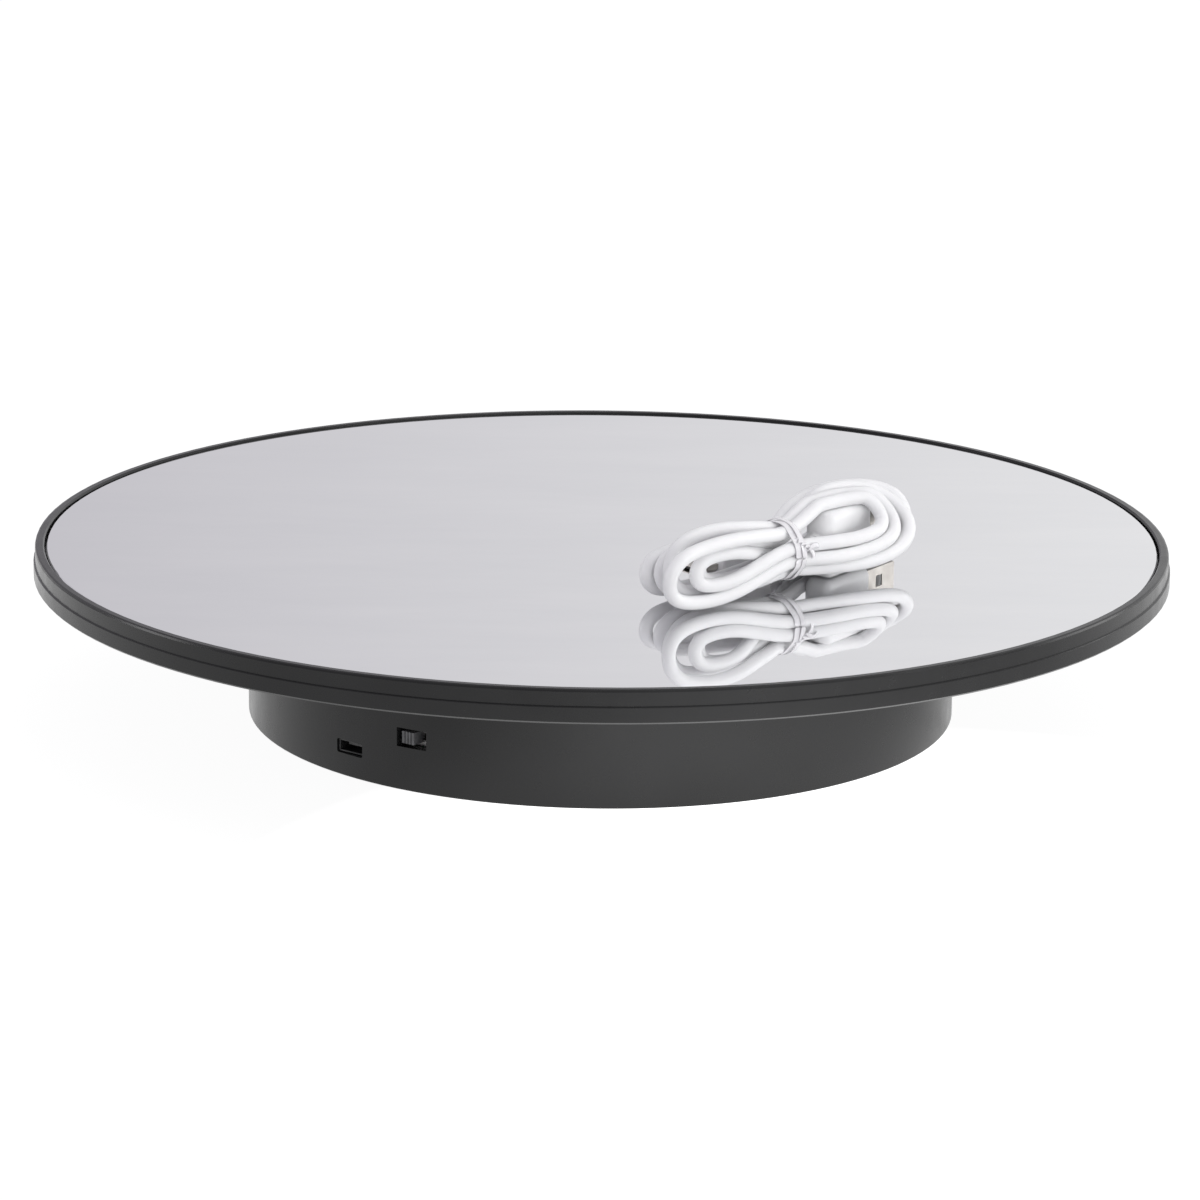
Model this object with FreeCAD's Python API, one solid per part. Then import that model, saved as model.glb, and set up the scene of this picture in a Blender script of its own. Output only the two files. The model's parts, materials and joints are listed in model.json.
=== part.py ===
"""Motorised turntable display stand with a mirror top and a tied USB power lead.

Millimetres, +Z up.  The origin is on the surface that the stand rests on, on the axis that the
platter turns about.  The front is -Y.  The base is a round housing with a gear train, a battery bay
and a control board inside, and the platter runs on four rollers set in the housing's top.
"""
import FreeCAD, Part
import math
import os

V = FreeCAD.Vector
UP = V(0, 0, 1)

# ---------------------------------------------------------------- driving dimensions
PLATTER_R = 125.0          # 250 mm turntable
TOTAL_H = 40.3             # floor to the platter's lip
RIM_H = 7.0                # visible height of the platter's rim
BASE_R = 78.3
WALL = 2.2                 # moulded wall of the housing
FOOT_PROUD = 1.2           # how far the feet stand out of the housing
RUN_GAP = 1.4              # housing top to the rim's lower edge
PIN_GAP = 0.07             # radial running clearance of gears on their axles
SHAFT_GAP = 0.05           # radial running clearance of the spindle and the rollers

HOUSING_Z0 = FOOT_PROUD
RIM_Z0 = TOTAL_H - RIM_H
HOUSING_Z1 = RIM_Z0 - RUN_GAP
DECK_Z0 = HOUSING_Z1 - WALL          # underside of the housing's top plate
CAVITY_R = BASE_R - WALL
COVER_Z1 = HOUSING_Z0 + WALL         # upper face of the bottom cover
COVER_R = CAVITY_R - 0.2

# platter
LIP_W = 2.1
LIP_DROP = 0.5                       # mirror surface below the lip
MIRROR_T = 2.0
PAD_T = 0.5
WEB_T = 2.3
MIRROR_R = PLATTER_R - 2.8
MIRROR_TOP = TOTAL_H - LIP_DROP
WEB_Z1 = MIRROR_TOP - MIRROR_T - PAD_T
WEB_Z0 = WEB_Z1 - WEB_T
TRACK_R = 62.0
TRACK_Z = 33.4
HUB_R = 11.0
HUB_Z0 = 32.4

# rollers
ROLLER_R = 4.5
ROLLER_W = 5.0
ROLLER_GAP = 0.1
ROLLER_Z = TRACK_Z - ROLLER_GAP - ROLLER_R
ROLLER_PIN_R = 1.0
ROLLER_ANGLES = (0, 90, 180, 270)

# gear train: teeth, module and level of each mesh
PRESSURE = math.radians(20)
SPINDLE_TEETH, GEAR_3_PINION, MODULE_OUT = 60, 12, 0.8
GEAR_3_WHEEL, GEAR_2_PINION, MODULE_MID = 60, 12, 0.6
GEAR_2_WHEEL, GEAR_1_PINION, MODULE_IN = 60, 12, 0.5
GEAR_1_WHEEL, MOTOR_PINION, MODULE_MOTOR = 48, 10, 0.5
SHIFT_12, SHIFT_10 = 0.3, 0.41       # profile shift of the small pinions, taken off the wheels
LEVEL_IN = (17.0, 20.0)
LEVEL_MID = (20.6, 23.6)
LEVEL_OUT = (24.4, 28.4)
LEVEL_MOTOR = (24.4, 26.9)
GEAR_Z0, GEAR_Z1 = 16.7, 29.4        # ends of every gear's hub
AXLE_R = 1.25
PLATE_Z0, PLATE_Z1 = 14.8, 16.4      # gear plate


def polar(radius, degrees, z=0.0):
    """Point at that radius and angle from +X."""
    a = math.radians(degrees)
    return V(radius * math.cos(a), radius * math.sin(a), z)


def step_from(point, distance, degrees):
    """Point at that distance and direction from another."""
    return point + polar(distance, degrees)


SPINDLE_AT = V(0, 0, 0)
TO_GEAR_3, TO_GEAR_2, TO_GEAR_1, TO_MOTOR = -60.0, -10.0, -110.0, -150.0
GEAR_3_AT = step_from(SPINDLE_AT, MODULE_OUT * (SPINDLE_TEETH + GEAR_3_PINION) / 2, TO_GEAR_3)
GEAR_2_AT = step_from(GEAR_3_AT, MODULE_MID * (GEAR_3_WHEEL + GEAR_2_PINION) / 2, TO_GEAR_2)
GEAR_1_AT = step_from(GEAR_2_AT, MODULE_IN * (GEAR_2_WHEEL + GEAR_1_PINION) / 2, TO_GEAR_1)
MOTOR_AT = step_from(GEAR_1_AT, MODULE_MOTOR * (GEAR_1_WHEEL + MOTOR_PINION) / 2, TO_MOTOR)

# spindle
SPINDLE_R = 4.0
JOURNAL_R = 2.5
FLAT_HALF = 2.8                      # half the width across the spindle's drive flats
SPINDLE_TOP = 34.3
SCREW_HOLE_R = 1.3

# motor
MOTOR_R = 12.2
MOTOR_Z0 = 4.2
MOTOR_CAP_H = 1.6

# fasteners
PLATE_POSTS = (V(-28, 5, 0), V(31, 5, 0), V(48, -43, 0), V(-4, -50, 0))
POST_R = 3.2
COVER_SCREW_R = 68.5
COVER_SCREW_ANGLES = (30, 150, 210, 330)
FOOT_R = 6.0
FOOT_T = 2.0
FOOT_RING_R = 66.0
FOOT_ANGLES = (45, 135, 225, 315)

# battery bay for three AA cells side by side, along X
CELL_D, CELL_L, CELLS = 14.5, 50.5, 3
BAY_HALF_X = 28.5
BAY_Y0 = 19.0
BAY_Y1 = BAY_Y0 + CELLS * CELL_D + 1.5
BAY_WALL = 1.5
BAY_CEILING = 17.9
DOOR_T = 1.8
DOOR_GAP = 0.2
RECESS_MARGIN = 2.5                  # the door's seat round the bay
SEAT_T = 1.5
TAB_X = (-18.0, 18.0)
TAB_W = 6.0

# control board, square to a radius of the housing
BOARD_TURN = -36.6                   # degrees from the front towards -X
PORT_X = -7.9                        # socket, along the board from its middle
SOCKET_Z = 7.6
SWITCH_X = 8.8                       # middle of the switch's slot
SWITCH_Z = 12.7
SWITCH_TRAVEL = 2.0                  # the knob rests at the left end of its travel
KNOB_X = SWITCH_X - SWITCH_TRAVEL / 2
KNOB_W, KNOB_H = 3.2, 2.6
BOARD_FRONT = 70.5
BOARD_T = 1.4
SWITCH_DEEP = 4.2

# lead, folded into a hank that lies on the mirror: x along the hank, y to its rear, z above the mirror
LEAD_D = 3.0
HANK_AT = V(36.0, -44.5, MIRROR_TOP)
HANK_TURN = 39.0
HANK_PLAN = ((-37.4, -7.2), (-31, -9.8), (-20, -9.7), (-9, -8.0), (1.8, -6.5), (13, -8.8), (28, -8.1), (38, -5),
             (43.5, 4), (40, 12.5), (30, 14.9), (20, 13.9), (11, 10.5), (2, 6.8), (-8, 7.8), (-20, 9.1),
             (-30, 9.2), (-35, 2))
HANK_SIDE = ((-37.4, 8), (-33, 14.2), (-24, 16.6), (-10, 16.6), (1.8, 15.0), (12, 18.0), (22, 19.0), (33, 18.4),
             (41, 14.5), (43.5, 9), (40, 2.5), (30, 0.2), (20, 0.2), (1.8, 1.6), (-15, 0.2), (-28, 0.3),
             (-34, 2.2))
TIE_X0, TIE_X1 = 0.6, 3.0
PLUG_A_AT = (28.4, 4.6, 7.4)         # where the shell leaves the body
PLUG_A_TURN = 16.0
PLUG_A_BODY = (17.0, 7.0, 14.4)      # length, thickness and height as it stands on edge
PLUG_A_SHELL = (11.8, 4.5, 12.0)
PLUG_B_AT = (-6.5, 13.0, 3.5)
PLUG_B_TURN = 176.0
PLUG_B_BODY = (15.0, 9.8, 6.8)
PLUG_B_SHELL = (6.0, 6.85, 1.8)


# ---------------------------------------------------------------- helpers
def tube(r_out, r_in, z0, z1, at=V(0, 0, 0)):
    """Ring or, with no inner radius, a disc."""
    solid = Part.makeCylinder(r_out, z1 - z0, V(at.x, at.y, z0))
    if r_in:
        solid = solid.cut(Part.makeCylinder(r_in, z1 - z0, V(at.x, at.y, z0)))
    return solid


def block(x0, x1, y0, y1, z0, z1):
    return Part.makeBox(x1 - x0, y1 - y0, z1 - z0, V(x0, y0, z0))


def turned(points):
    """Solid of revolution about Z from (radius, height) corners."""
    wire = Part.makePolygon([V(r, 0, z) for r, z in points] + [V(points[0][0], 0, points[0][1])])
    return Part.Face(wire).revolve(V(0, 0, 0), UP, 360)


def prism(points, z0, z1):
    """Solid with that outline in X and Y."""
    wire = Part.makePolygon([V(x, y, z0) for x, y in points] + [V(points[0][0], points[0][1], z0)])
    return Part.Face(wire).extrude(V(0, 0, z1 - z0))


def fused(shapes):
    whole = shapes[0].fuse(shapes[1:]) if len(shapes) > 1 else shapes[0]
    return whole.removeSplitter()


def rounded(shape, radius, keep):
    """Fillets the edges that keep(edge) picks."""
    edges = [e for e in shape.Edges if keep(e)]
    return shape.makeFillet(radius, edges)


def circle_edge(radius, z):
    """Picks the full circle of that radius at that height."""
    def keep(edge):
        curve = edge.Curve
        return (isinstance(curve, Part.Circle) and abs(curve.Radius - radius) < 1e-4
                and abs(curve.Center.z - z) < 1e-4)
    return keep


def at_front(shape):
    """Turns a shape built at the front, facing -Y, round to where the control board sits."""
    moved = shape.copy()
    moved.rotate(V(0, 0, 0), UP, BOARD_TURN)
    return moved


def compound(solids):
    return Part.makeCompound(solids)


def save(name, shape):
    shape.exportStep(os.path.join("parts", name + ".step"))


# ---------------------------------------------------------------- gears
def involute(angle):
    return math.tan(angle) - angle


def gear(teeth, module, shift, tooth_at, z0, z1, backlash=0.12, steps=3):
    """Spur gear disc with one tooth centred on the direction tooth_at, in degrees."""
    pitch = module * teeth / 2
    base = pitch * math.cos(PRESSURE)
    tip = pitch + module * (1 + shift)
    root = pitch - module * (1.25 - shift)
    half_tooth = (module * (math.pi / 2 + 2 * shift * math.tan(PRESSURE)) - backlash / 2) / (2 * pitch)
    start = max(base, root)

    def half_angle(radius):
        return half_tooth + involute(PRESSURE) - involute(math.acos(min(1.0, base / radius)))

    flank = [(start + (tip - start) * i / (steps - 1)) for i in range(steps)]
    side = [(r, half_angle(r)) for r in flank]
    if root < start:
        side = [(root, half_angle(start))] + side
    points = []
    for tooth in range(teeth):
        centre = math.radians(tooth_at) + 2 * math.pi * tooth / teeth
        outline = [(r, centre - a) for r, a in side] + [(r, centre + a) for r, a in reversed(side)]
        points += [(r * math.cos(a), r * math.sin(a)) for r, a in outline]
    return prism(points, z0, z1)


def gap_at(teeth, degrees):
    """Direction of a tooth centre that puts a gap at that direction."""
    return degrees + 180.0 / teeth


def placed_gear(parts, at, bore):
    """Fuses a gear's toothed discs and hubs, bores it and moves it to its axle."""
    solid = fused(parts)
    solid = solid.cut(Part.makeCylinder(bore, TOTAL_H, V(0, 0, 0)))
    solid.translate(at)
    return solid


def spindle_gear():
    z0, z1 = LEVEL_OUT
    disc = gear(SPINDLE_TEETH, MODULE_OUT, -SHIFT_12, TO_GEAR_3, z0, z1)
    rim_r = MODULE_OUT * SPINDLE_TEETH / 2 - 4.0
    relief = tube(rim_r, HUB_R - 3, z0, z0 + 1.2).fuse(tube(rim_r, HUB_R - 3, z1 - 1.2, z1))
    hub = tube(HUB_R - 3, 0, LEVEL_MID[0], z0)
    return placed_gear([disc.cut(relief), hub], SPINDLE_AT, SPINDLE_R)


def compound_gear_3():
    back = TO_GEAR_3 + 180
    pinion = gear(GEAR_3_PINION, MODULE_OUT, SHIFT_12, gap_at(GEAR_3_PINION, back), LEVEL_MID[1], 28.6)
    wheel = gear(GEAR_3_WHEEL, MODULE_MID, -SHIFT_12, TO_GEAR_2, *LEVEL_MID)
    hubs = tube(3.0, 0, GEAR_Z0, LEVEL_MID[0]).fuse(tube(3.0, 0, 28.6, GEAR_Z1))
    return placed_gear([wheel, pinion, hubs], GEAR_3_AT, AXLE_R + PIN_GAP)


def compound_gear_2():
    back = TO_GEAR_2 + 180
    pinion = gear(GEAR_2_PINION, MODULE_MID, SHIFT_12, gap_at(GEAR_2_PINION, back), LEVEL_IN[1], 24.0)
    wheel = gear(GEAR_2_WHEEL, MODULE_IN, -SHIFT_12, TO_GEAR_1, *LEVEL_IN, backlash=0.1)
    hubs = tube(2.6, 0, GEAR_Z0, LEVEL_IN[0]).fuse(tube(2.6, 0, 24.0, GEAR_Z1))
    return placed_gear([wheel, pinion, hubs], GEAR_2_AT, AXLE_R + PIN_GAP)


def compound_gear_1():
    back = TO_GEAR_1 + 180
    pinion = gear(GEAR_1_PINION, MODULE_IN, SHIFT_12, gap_at(GEAR_1_PINION, back), GEAR_Z0, 20.4,
                  backlash=0.1)
    wheel = gear(GEAR_1_WHEEL, MODULE_MOTOR, -SHIFT_10, TO_MOTOR, *LEVEL_MOTOR, backlash=0.1)
    hubs = tube(2.6, 0, 20.4, LEVEL_MOTOR[0]).fuse(tube(2.6, 0, LEVEL_MOTOR[1], GEAR_Z1))
    return placed_gear([wheel, pinion, hubs], GEAR_1_AT, AXLE_R + PIN_GAP)


def motor_pinion():
    back = TO_MOTOR + 180
    disc = gear(MOTOR_PINION, MODULE_MOTOR, SHIFT_10, gap_at(MOTOR_PINION, back), 23.9, 27.4, backlash=0.1)
    return placed_gear([disc], MOTOR_AT, 1.0)


# ---------------------------------------------------------------- platter and spindle
def platter():
    """Turned tray with a stepped rim, a track for the rollers and a hub, stiffened by radial ribs."""
    lip_in = MIRROR_R + 0.4
    upper, lower = PLATTER_R - 0.35, PLATTER_R
    step_z = RIM_Z0 + 3.5
    profile = [
        (lip_in, WEB_Z1), (lip_in, TOTAL_H - 0.3), (lip_in + 0.3, TOTAL_H),
        (upper - 0.55, TOTAL_H), (upper - 0.16, TOTAL_H - 0.16), (upper, TOTAL_H - 0.55),
        (upper, step_z + 0.15), (lower - 0.1, step_z), (lower, step_z - 0.15),
        (lower, RIM_Z0 + 0.4), (lower - 0.4, RIM_Z0), (lip_in, RIM_Z0), (lip_in, WEB_Z0),
        (TRACK_R + 3, WEB_Z0), (TRACK_R + 3, TRACK_Z), (TRACK_R - 3, TRACK_Z), (TRACK_R - 3, WEB_Z0),
        (HUB_R, WEB_Z0), (HUB_R, HUB_Z0), (1.8, HUB_Z0), (1.8, WEB_Z1),
    ]
    body = turned(profile)
    rib = block(TRACK_R + 2, lip_in + 1, -0.7, 0.7, RIM_Z0 + 0.6, WEB_Z0 + 0.1)
    inner_rib = block(HUB_R - 1, TRACK_R - 2, -0.7, 0.7, TRACK_Z + 0.4, WEB_Z0 + 0.1)
    ribs = []
    for i in range(12):
        for one in (rib, inner_rib):
            turned_rib = one.copy()
            turned_rib.rotate(V(0, 0, 0), UP, 30 * i + 15)
            ribs.append(turned_rib)
    body = body.fuse(ribs)
    body = body.cut(drive_shape(HUB_Z0, SPINDLE_TOP + 0.1))
    body = body.cut(tube(3.4, 0, WEB_Z1 - 1.7, WEB_Z1))
    return body.removeSplitter()


def drive_shape(z0, z1):
    """Round bar with two flats, which carries the platter round with the spindle."""
    bar = Part.makeCylinder(SPINDLE_R, z1 - z0, V(0, 0, z0))
    return bar.common(block(-SPINDLE_R, SPINDLE_R, -FLAT_HALF, FLAT_HALF, z0, z1))


def spindle_shaft():
    shaft = fused([
        tube(JOURNAL_R, 0, PLATE_Z0, GEAR_Z0),
        tube(SPINDLE_R, 0, GEAR_Z0, HUB_Z0 - 0.1),
        drive_shape(HUB_Z0 - 0.1, SPINDLE_TOP),
    ])
    return shaft.cut(Part.makeCylinder(SCREW_HOLE_R, 9, V(0, 0, SPINDLE_TOP - 9)))


def pan_screw(at, z_seat, shank_r, length, head_r, head_h, down=True):
    """Screw with its head seated at z_seat and a cross recess; down says which way the shank points."""
    sign = -1 if down else 1
    z_head = z_seat if down else z_seat - head_h
    z_shank = z_seat - length if down else z_seat
    head = Part.makeCylinder(head_r, head_h, V(0, 0, z_head))
    top = z_seat + head_h if down else z_seat - head_h
    head = rounded(head, 0.35 * head_h, circle_edge(head_r, top))
    slot_z = top - 0.5 * head_h if down else top
    for a, b in ((0.62, 0.16), (0.16, 0.62)):
        x, y = a * head_r, b * head_r
        head = head.cut(block(-x, x, -y, y, slot_z, slot_z + 0.5 * head_h))
    shank = Part.makeCylinder(shank_r, length, V(0, 0, z_shank))
    screw = fused([head, shank])
    screw.translate(at)
    return screw


def platter_screw():
    return pan_screw(SPINDLE_AT, WEB_Z1 - 1.7, SCREW_HOLE_R - 0.05, 8.0, 3.0, 1.5)


def mirror():
    disc = tube(MIRROR_R, 0, MIRROR_TOP - MIRROR_T, MIRROR_TOP)
    return disc.makeChamfer(0.25, [e for e in disc.Edges if circle_edge(MIRROR_R, MIRROR_TOP)(e)])


def adhesive_pad():
    return tube(MIRROR_R - 4, 8, WEB_Z1, WEB_Z1 + PAD_T)


# ---------------------------------------------------------------- rollers
def at_roller(shape, degrees):
    """Moves a shape built about the X axis at the origin to a roller's place, its axis along the radius."""
    moved = shape.copy()
    moved.translate(V(TRACK_R, 0, ROLLER_Z))
    moved.rotate(V(0, 0, 0), UP, degrees)
    return moved


def bar_x(radius, x0, x1):
    return Part.makeCylinder(radius, x1 - x0, V(x0, 0, 0), V(1, 0, 0))


def roller(degrees):
    half = ROLLER_W / 2
    wheel = bar_x(ROLLER_R, -half, half)
    wheel = wheel.makeChamfer(0.5, [e for e in wheel.Edges if isinstance(e.Curve, Part.Circle)])
    wheel = wheel.cut(bar_x(ROLLER_PIN_R + SHAFT_GAP, -half, half))
    return at_roller(wheel, degrees)


def roller_pins():
    return compound([at_roller(bar_x(ROLLER_PIN_R, -4.6, 4.6), a) for a in ROLLER_ANGLES])


def roller_pocket(degrees):
    """(walls hanging under the deck, space cut out of them) for one roller."""
    half = ROLLER_W / 2 + 0.4
    deep = ROLLER_R + 0.6
    walls = block(-half - 2, half + 2, -deep - 1.6, deep + 1.6, -deep - 1.6, DECK_Z0 + 0.5 - ROLLER_Z)
    space = block(-half, half, -deep, deep, -deep, HOUSING_Z1 + 1 - ROLLER_Z)
    space = space.fuse(bar_x(ROLLER_PIN_R, -4.6, 4.6))
    return at_roller(walls, degrees), at_roller(space, degrees)


# ---------------------------------------------------------------- housing
def port_opening():
    """Slot in the housing's wall for the lead's plug, with rounded corners."""
    half_w, half_h = 3.75, 1.5
    slot = block(PORT_X - half_w, PORT_X + half_w, -BASE_R - 2, -BOARD_FRONT - 4,
                 SOCKET_Z - half_h, SOCKET_Z + half_h)
    along_y = [e for e in slot.Edges if abs(abs(e.tangentAt(e.FirstParameter).y) - 1) < 1e-6]
    return at_front(slot.makeFillet(0.5, along_y))


def switch_opening():
    half_w, half_h = 3.6, 2.05
    return at_front(block(SWITCH_X - half_w, SWITCH_X + half_w, -BASE_R - 2, -BOARD_FRONT - 4,
                          SWITCH_Z - half_h, SWITCH_Z + half_h))


def base_shell():
    body = tube(BASE_R, 0, HOUSING_Z0, HOUSING_Z1)
    body = rounded(body, 0.8, circle_edge(BASE_R, HOUSING_Z1))
    body = body.cut(tube(CAVITY_R, 0, HOUSING_Z0, DECK_Z0))
    body = body.makeFillet(0.35, [e for e in body.Edges if circle_edge(BASE_R, HOUSING_Z0)(e)])
    adds = [tube(10, 0, DECK_Z0 - 0.8, DECK_Z0 + 0.5)]
    cuts = [tube(6, 0, DECK_Z0 - 2, HOUSING_Z1 + 1)]
    for angle in COVER_SCREW_ANGLES:
        at = polar(COVER_SCREW_R, angle)
        adds.append(tube(3.6, 0, COVER_Z1, DECK_Z0 + 0.5, at))
        web = block(COVER_SCREW_R, CAVITY_R + 0.5, -0.7, 0.7, COVER_Z1 + 4, DECK_Z0 + 0.5)
        web.rotate(V(0, 0, 0), UP, angle)
        adds.append(web)
        cuts.append(tube(1.3, 0, COVER_Z1 - 1, COVER_Z1 + 12, at))
    for post in PLATE_POSTS:
        adds.append(tube(POST_R, 0, PLATE_Z1, DECK_Z0 + 0.5, post))
        cuts.append(tube(1.1, 0, PLATE_Z1 - 1, PLATE_Z1 + 9, post))
    for axle in (GEAR_1_AT, GEAR_2_AT, GEAR_3_AT):
        cuts.append(tube(AXLE_R, 0, DECK_Z0 - 1, HOUSING_Z1 - 0.9, axle))
    for i in range(8):
        rib = block(60, CAVITY_R + 0.5, -0.6, 0.6, DECK_Z0 - 2.2, DECK_Z0 + 0.5)
        rib.rotate(V(0, 0, 0), UP, 45 * i + 22.5)
        adds.append(rib)
    for angle in ROLLER_ANGLES:
        walls, space = roller_pocket(angle)
        adds.append(walls)
        cuts.append(space)
    return body.fuse(adds).cut(cuts + [port_opening(), switch_opening()]).removeSplitter()


def spindle_bush():
    bore = SPINDLE_R + SHAFT_GAP
    return fused([tube(6, bore, DECK_Z0 - 0.8, HOUSING_Z1), tube(8.5, bore, HOUSING_Z1, HOUSING_Z1 + 0.3)])


def gear_plate():
    """Lower plate of the gearbox, hung from the housing's posts."""
    corners = [PLATE_POSTS[0], PLATE_POSTS[1], PLATE_POSTS[2], V(30, -62, 0), V(4, -62, 0), V(-10, -48, 0)]
    wire = Part.makePolygon([V(p.x, p.y, PLATE_Z0) for p in corners + corners[:1]])
    outline = Part.Face(wire).makeOffset2D(6.0)
    plate = outline.extrude(V(0, 0, PLATE_Z1 - PLATE_Z0))
    plate = plate.fuse(tube(6, 0, PLATE_Z0 - 1.5, PLATE_Z0 + 0.5, SPINDLE_AT))
    cuts = [tube(JOURNAL_R + SHAFT_GAP, 0, PLATE_Z0, PLATE_Z1 + 1, SPINDLE_AT)]
    cuts += [tube(AXLE_R, 0, PLATE_Z0 - 1, PLATE_Z1 + 1, at) for at in (GEAR_1_AT, GEAR_2_AT, GEAR_3_AT)]
    cuts += [tube(1.4, 0, PLATE_Z0 - 1, PLATE_Z1 + 1, at) for at in PLATE_POSTS]
    cuts.append(tube(3.3, 0, PLATE_Z0 - 1, PLATE_Z1 + 1, MOTOR_AT))
    cuts += [tube(1.2, 0, PLATE_Z0 - 1, PLATE_Z1 + 1, at) for at in motor_screw_places()]
    return plate.cut(cuts).removeSplitter()


def gear_axles():
    places = (GEAR_1_AT, GEAR_2_AT, GEAR_3_AT)
    return compound([tube(AXLE_R, 0, PLATE_Z0, HOUSING_Z1 - 1.0, at) for at in places])


def plate_screws():
    return compound([pan_screw(at, PLATE_Z0, 1.05, 8.5, 2.5, 1.5, down=False) for at in PLATE_POSTS])


# ---------------------------------------------------------------- motor
def motor_screw_places():
    return [step_from(MOTOR_AT, 8.5, 120 + a) for a in (0, 180)]


def motor_can():
    can = tube(MOTOR_R, 0, MOTOR_Z0 + MOTOR_CAP_H, PLATE_Z0, MOTOR_AT)
    edges = [e for e in can.Edges if isinstance(e.Curve, Part.Circle) and e.Curve.Center.z > PLATE_Z0 - 0.1]
    can = can.makeFillet(0.8, edges)
    boss = tube(3.0, 0, PLATE_Z0 - 0.5, PLATE_Z1 + 0.1, MOTOR_AT)
    cuts = [tube(1.0 + SHAFT_GAP, 0, MOTOR_Z0, PLATE_Z1 + 1, MOTOR_AT)]
    cuts += [tube(0.9, 0, PLATE_Z0 - 2.5, PLATE_Z0 + 1, at) for at in motor_screw_places()]
    return can.fuse(boss).cut(cuts).removeSplitter()


def motor_end_cap():
    cap = tube(MOTOR_R - 0.6, 0, MOTOR_Z0, MOTOR_Z0 + MOTOR_CAP_H, MOTOR_AT)
    for turn in (60, 100):
        lug = block(-1.2, 1.2, 11.0, 13.2, MOTOR_Z0 + 0.4, MOTOR_Z0 + 1.0)
        lug.rotate(V(0, 0, 0), UP, turn)
        lug.translate(MOTOR_AT)
        cap = cap.fuse(lug)
    shaft_hole = tube(1.0 + SHAFT_GAP, 0, MOTOR_Z0 + 0.6, MOTOR_Z0 + 3, MOTOR_AT)
    return cap.cut(shaft_hole).removeSplitter()


def motor_shaft():
    return tube(1.0, 0, MOTOR_Z0 + 0.7, 28.0, MOTOR_AT)


def motor_screws():
    return compound([pan_screw(at, PLATE_Z1, 0.85, 3.6, 1.7, 0.4) for at in motor_screw_places()])


# ---------------------------------------------------------------- bottom cover, battery bay, feet
def bay_seat():
    """(x half width, y0, y1) of the recess that the battery door fits."""
    return BAY_HALF_X + BAY_WALL + 1.5, BAY_Y0 - BAY_WALL - RECESS_MARGIN, BAY_Y1 + BAY_WALL + 2.0


def bottom_cover():
    half, y0, y1 = bay_seat()
    seat_z0 = HOUSING_Z0 + DOOR_T + 0.1
    seat_z1 = seat_z0 + SEAT_T
    body = tube(COVER_R, 0, HOUSING_Z0, COVER_Z1)
    seat = block(-half - 1.2, half + 1.2, y0 - 1.2, y1 + 1.2, HOUSING_Z0 + 0.5, seat_z1)
    seat = seat.common(tube(COVER_R, 0, 0, TOTAL_H))
    bay = block(-BAY_HALF_X - BAY_WALL, BAY_HALF_X + BAY_WALL, BAY_Y0 - BAY_WALL, BAY_Y1 + BAY_WALL,
                seat_z0, BAY_CEILING + BAY_WALL)
    body = body.fuse([seat, bay])
    cuts = [block(-half, half, y0, y1, 0, seat_z0),
            block(-BAY_HALF_X, BAY_HALF_X, BAY_Y0, BAY_Y1, 0, BAY_CEILING)]
    for x in TAB_X:
        cuts.append(block(x - TAB_W / 2 - 0.3, x + TAB_W / 2 + 0.3, y0 - 2.9, y0 + 2.3,
                          HOUSING_Z0 + 0.7, seat_z1 + 1))
    cuts.append(block(-5.4, 5.4, y1 - 1.4, y1 + 0.1, seat_z0 - 0.5, seat_z1 + 3))
    for angle in COVER_SCREW_ANGLES:
        at = polar(COVER_SCREW_R, angle)
        cuts.append(tube(1.7, 0, 0, COVER_Z1 + 1, at))
        cuts.append(tube(3.1, 0, 0, HOUSING_Z0 + 1.0, at))
    for angle in FOOT_ANGLES:
        cuts.append(tube(FOOT_R + 0.1, 0, 0, HOUSING_Z0 + FOOT_T - FOOT_PROUD, polar(FOOT_RING_R, angle)))
    body = body.cut(cuts)
    return body.fuse(board_guides()).removeSplitter()


def board_guides():
    """Two channels that stand on the bottom cover and hold the control board's edges."""
    y0, y1 = -BOARD_FRONT, -BOARD_FRONT + BOARD_T
    guides = []
    for side in (-1, 1):
        post = block(13.5, 16.5, y0 - 1.3, y1 + 1.3, COVER_Z1 - 0.5, 12.0)
        post = post.cut(block(13.0, 15.0, y0 - 0.05, y1 + 0.05, COVER_Z1, 12.5))
        if side < 0:
            post = post.mirror(V(0, 0, 0), V(1, 0, 0))
        guides.append(at_front(post))
    return guides


def battery_door():
    half, y0, y1 = bay_seat()
    z0, z1 = HOUSING_Z0, HOUSING_Z0 + DOOR_T
    door = block(-half + DOOR_GAP, half - DOOR_GAP, y0 + DOOR_GAP, y1 - DOOR_GAP, z0, z1)
    upright = [e for e in door.Edges if abs(abs(e.tangentAt(e.FirstParameter).z) - 1) < 1e-6]
    door = door.makeFillet(0.4, upright)
    for x in TAB_X:
        door = door.fuse(block(x - TAB_W / 2, x + TAB_W / 2, y0 - 1.9, y0 + 0.6, z0 + 0.8, z1))
    # spring tongue of the catch, freed by two slots, and a finger notch
    tongue = block(-5, 5, y1 - 1.1, y1 - 0.3, z1 - 0.1, z1 + 3.0)
    slots = [block(s - 0.4, s + 0.4, y1 - 8, y1 - DOOR_GAP, z0 - 1, z1 + 1) for s in (-6.4, 6.4)]
    notch = Part.makeCylinder(6.0, 10, V(-5, y1 - 4.6, z0 - 5.1), V(1, 0, 0))
    door = door.fuse(tongue).cut(slots + [notch])
    # grip ribs on the outer face
    grooves = [block(-9, 9, y1 - 14 - 2 * i, y1 - 13.2 - 2 * i, z0 - 1, z0 + 0.35) for i in range(5)]
    return door.cut(grooves).removeSplitter()


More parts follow.
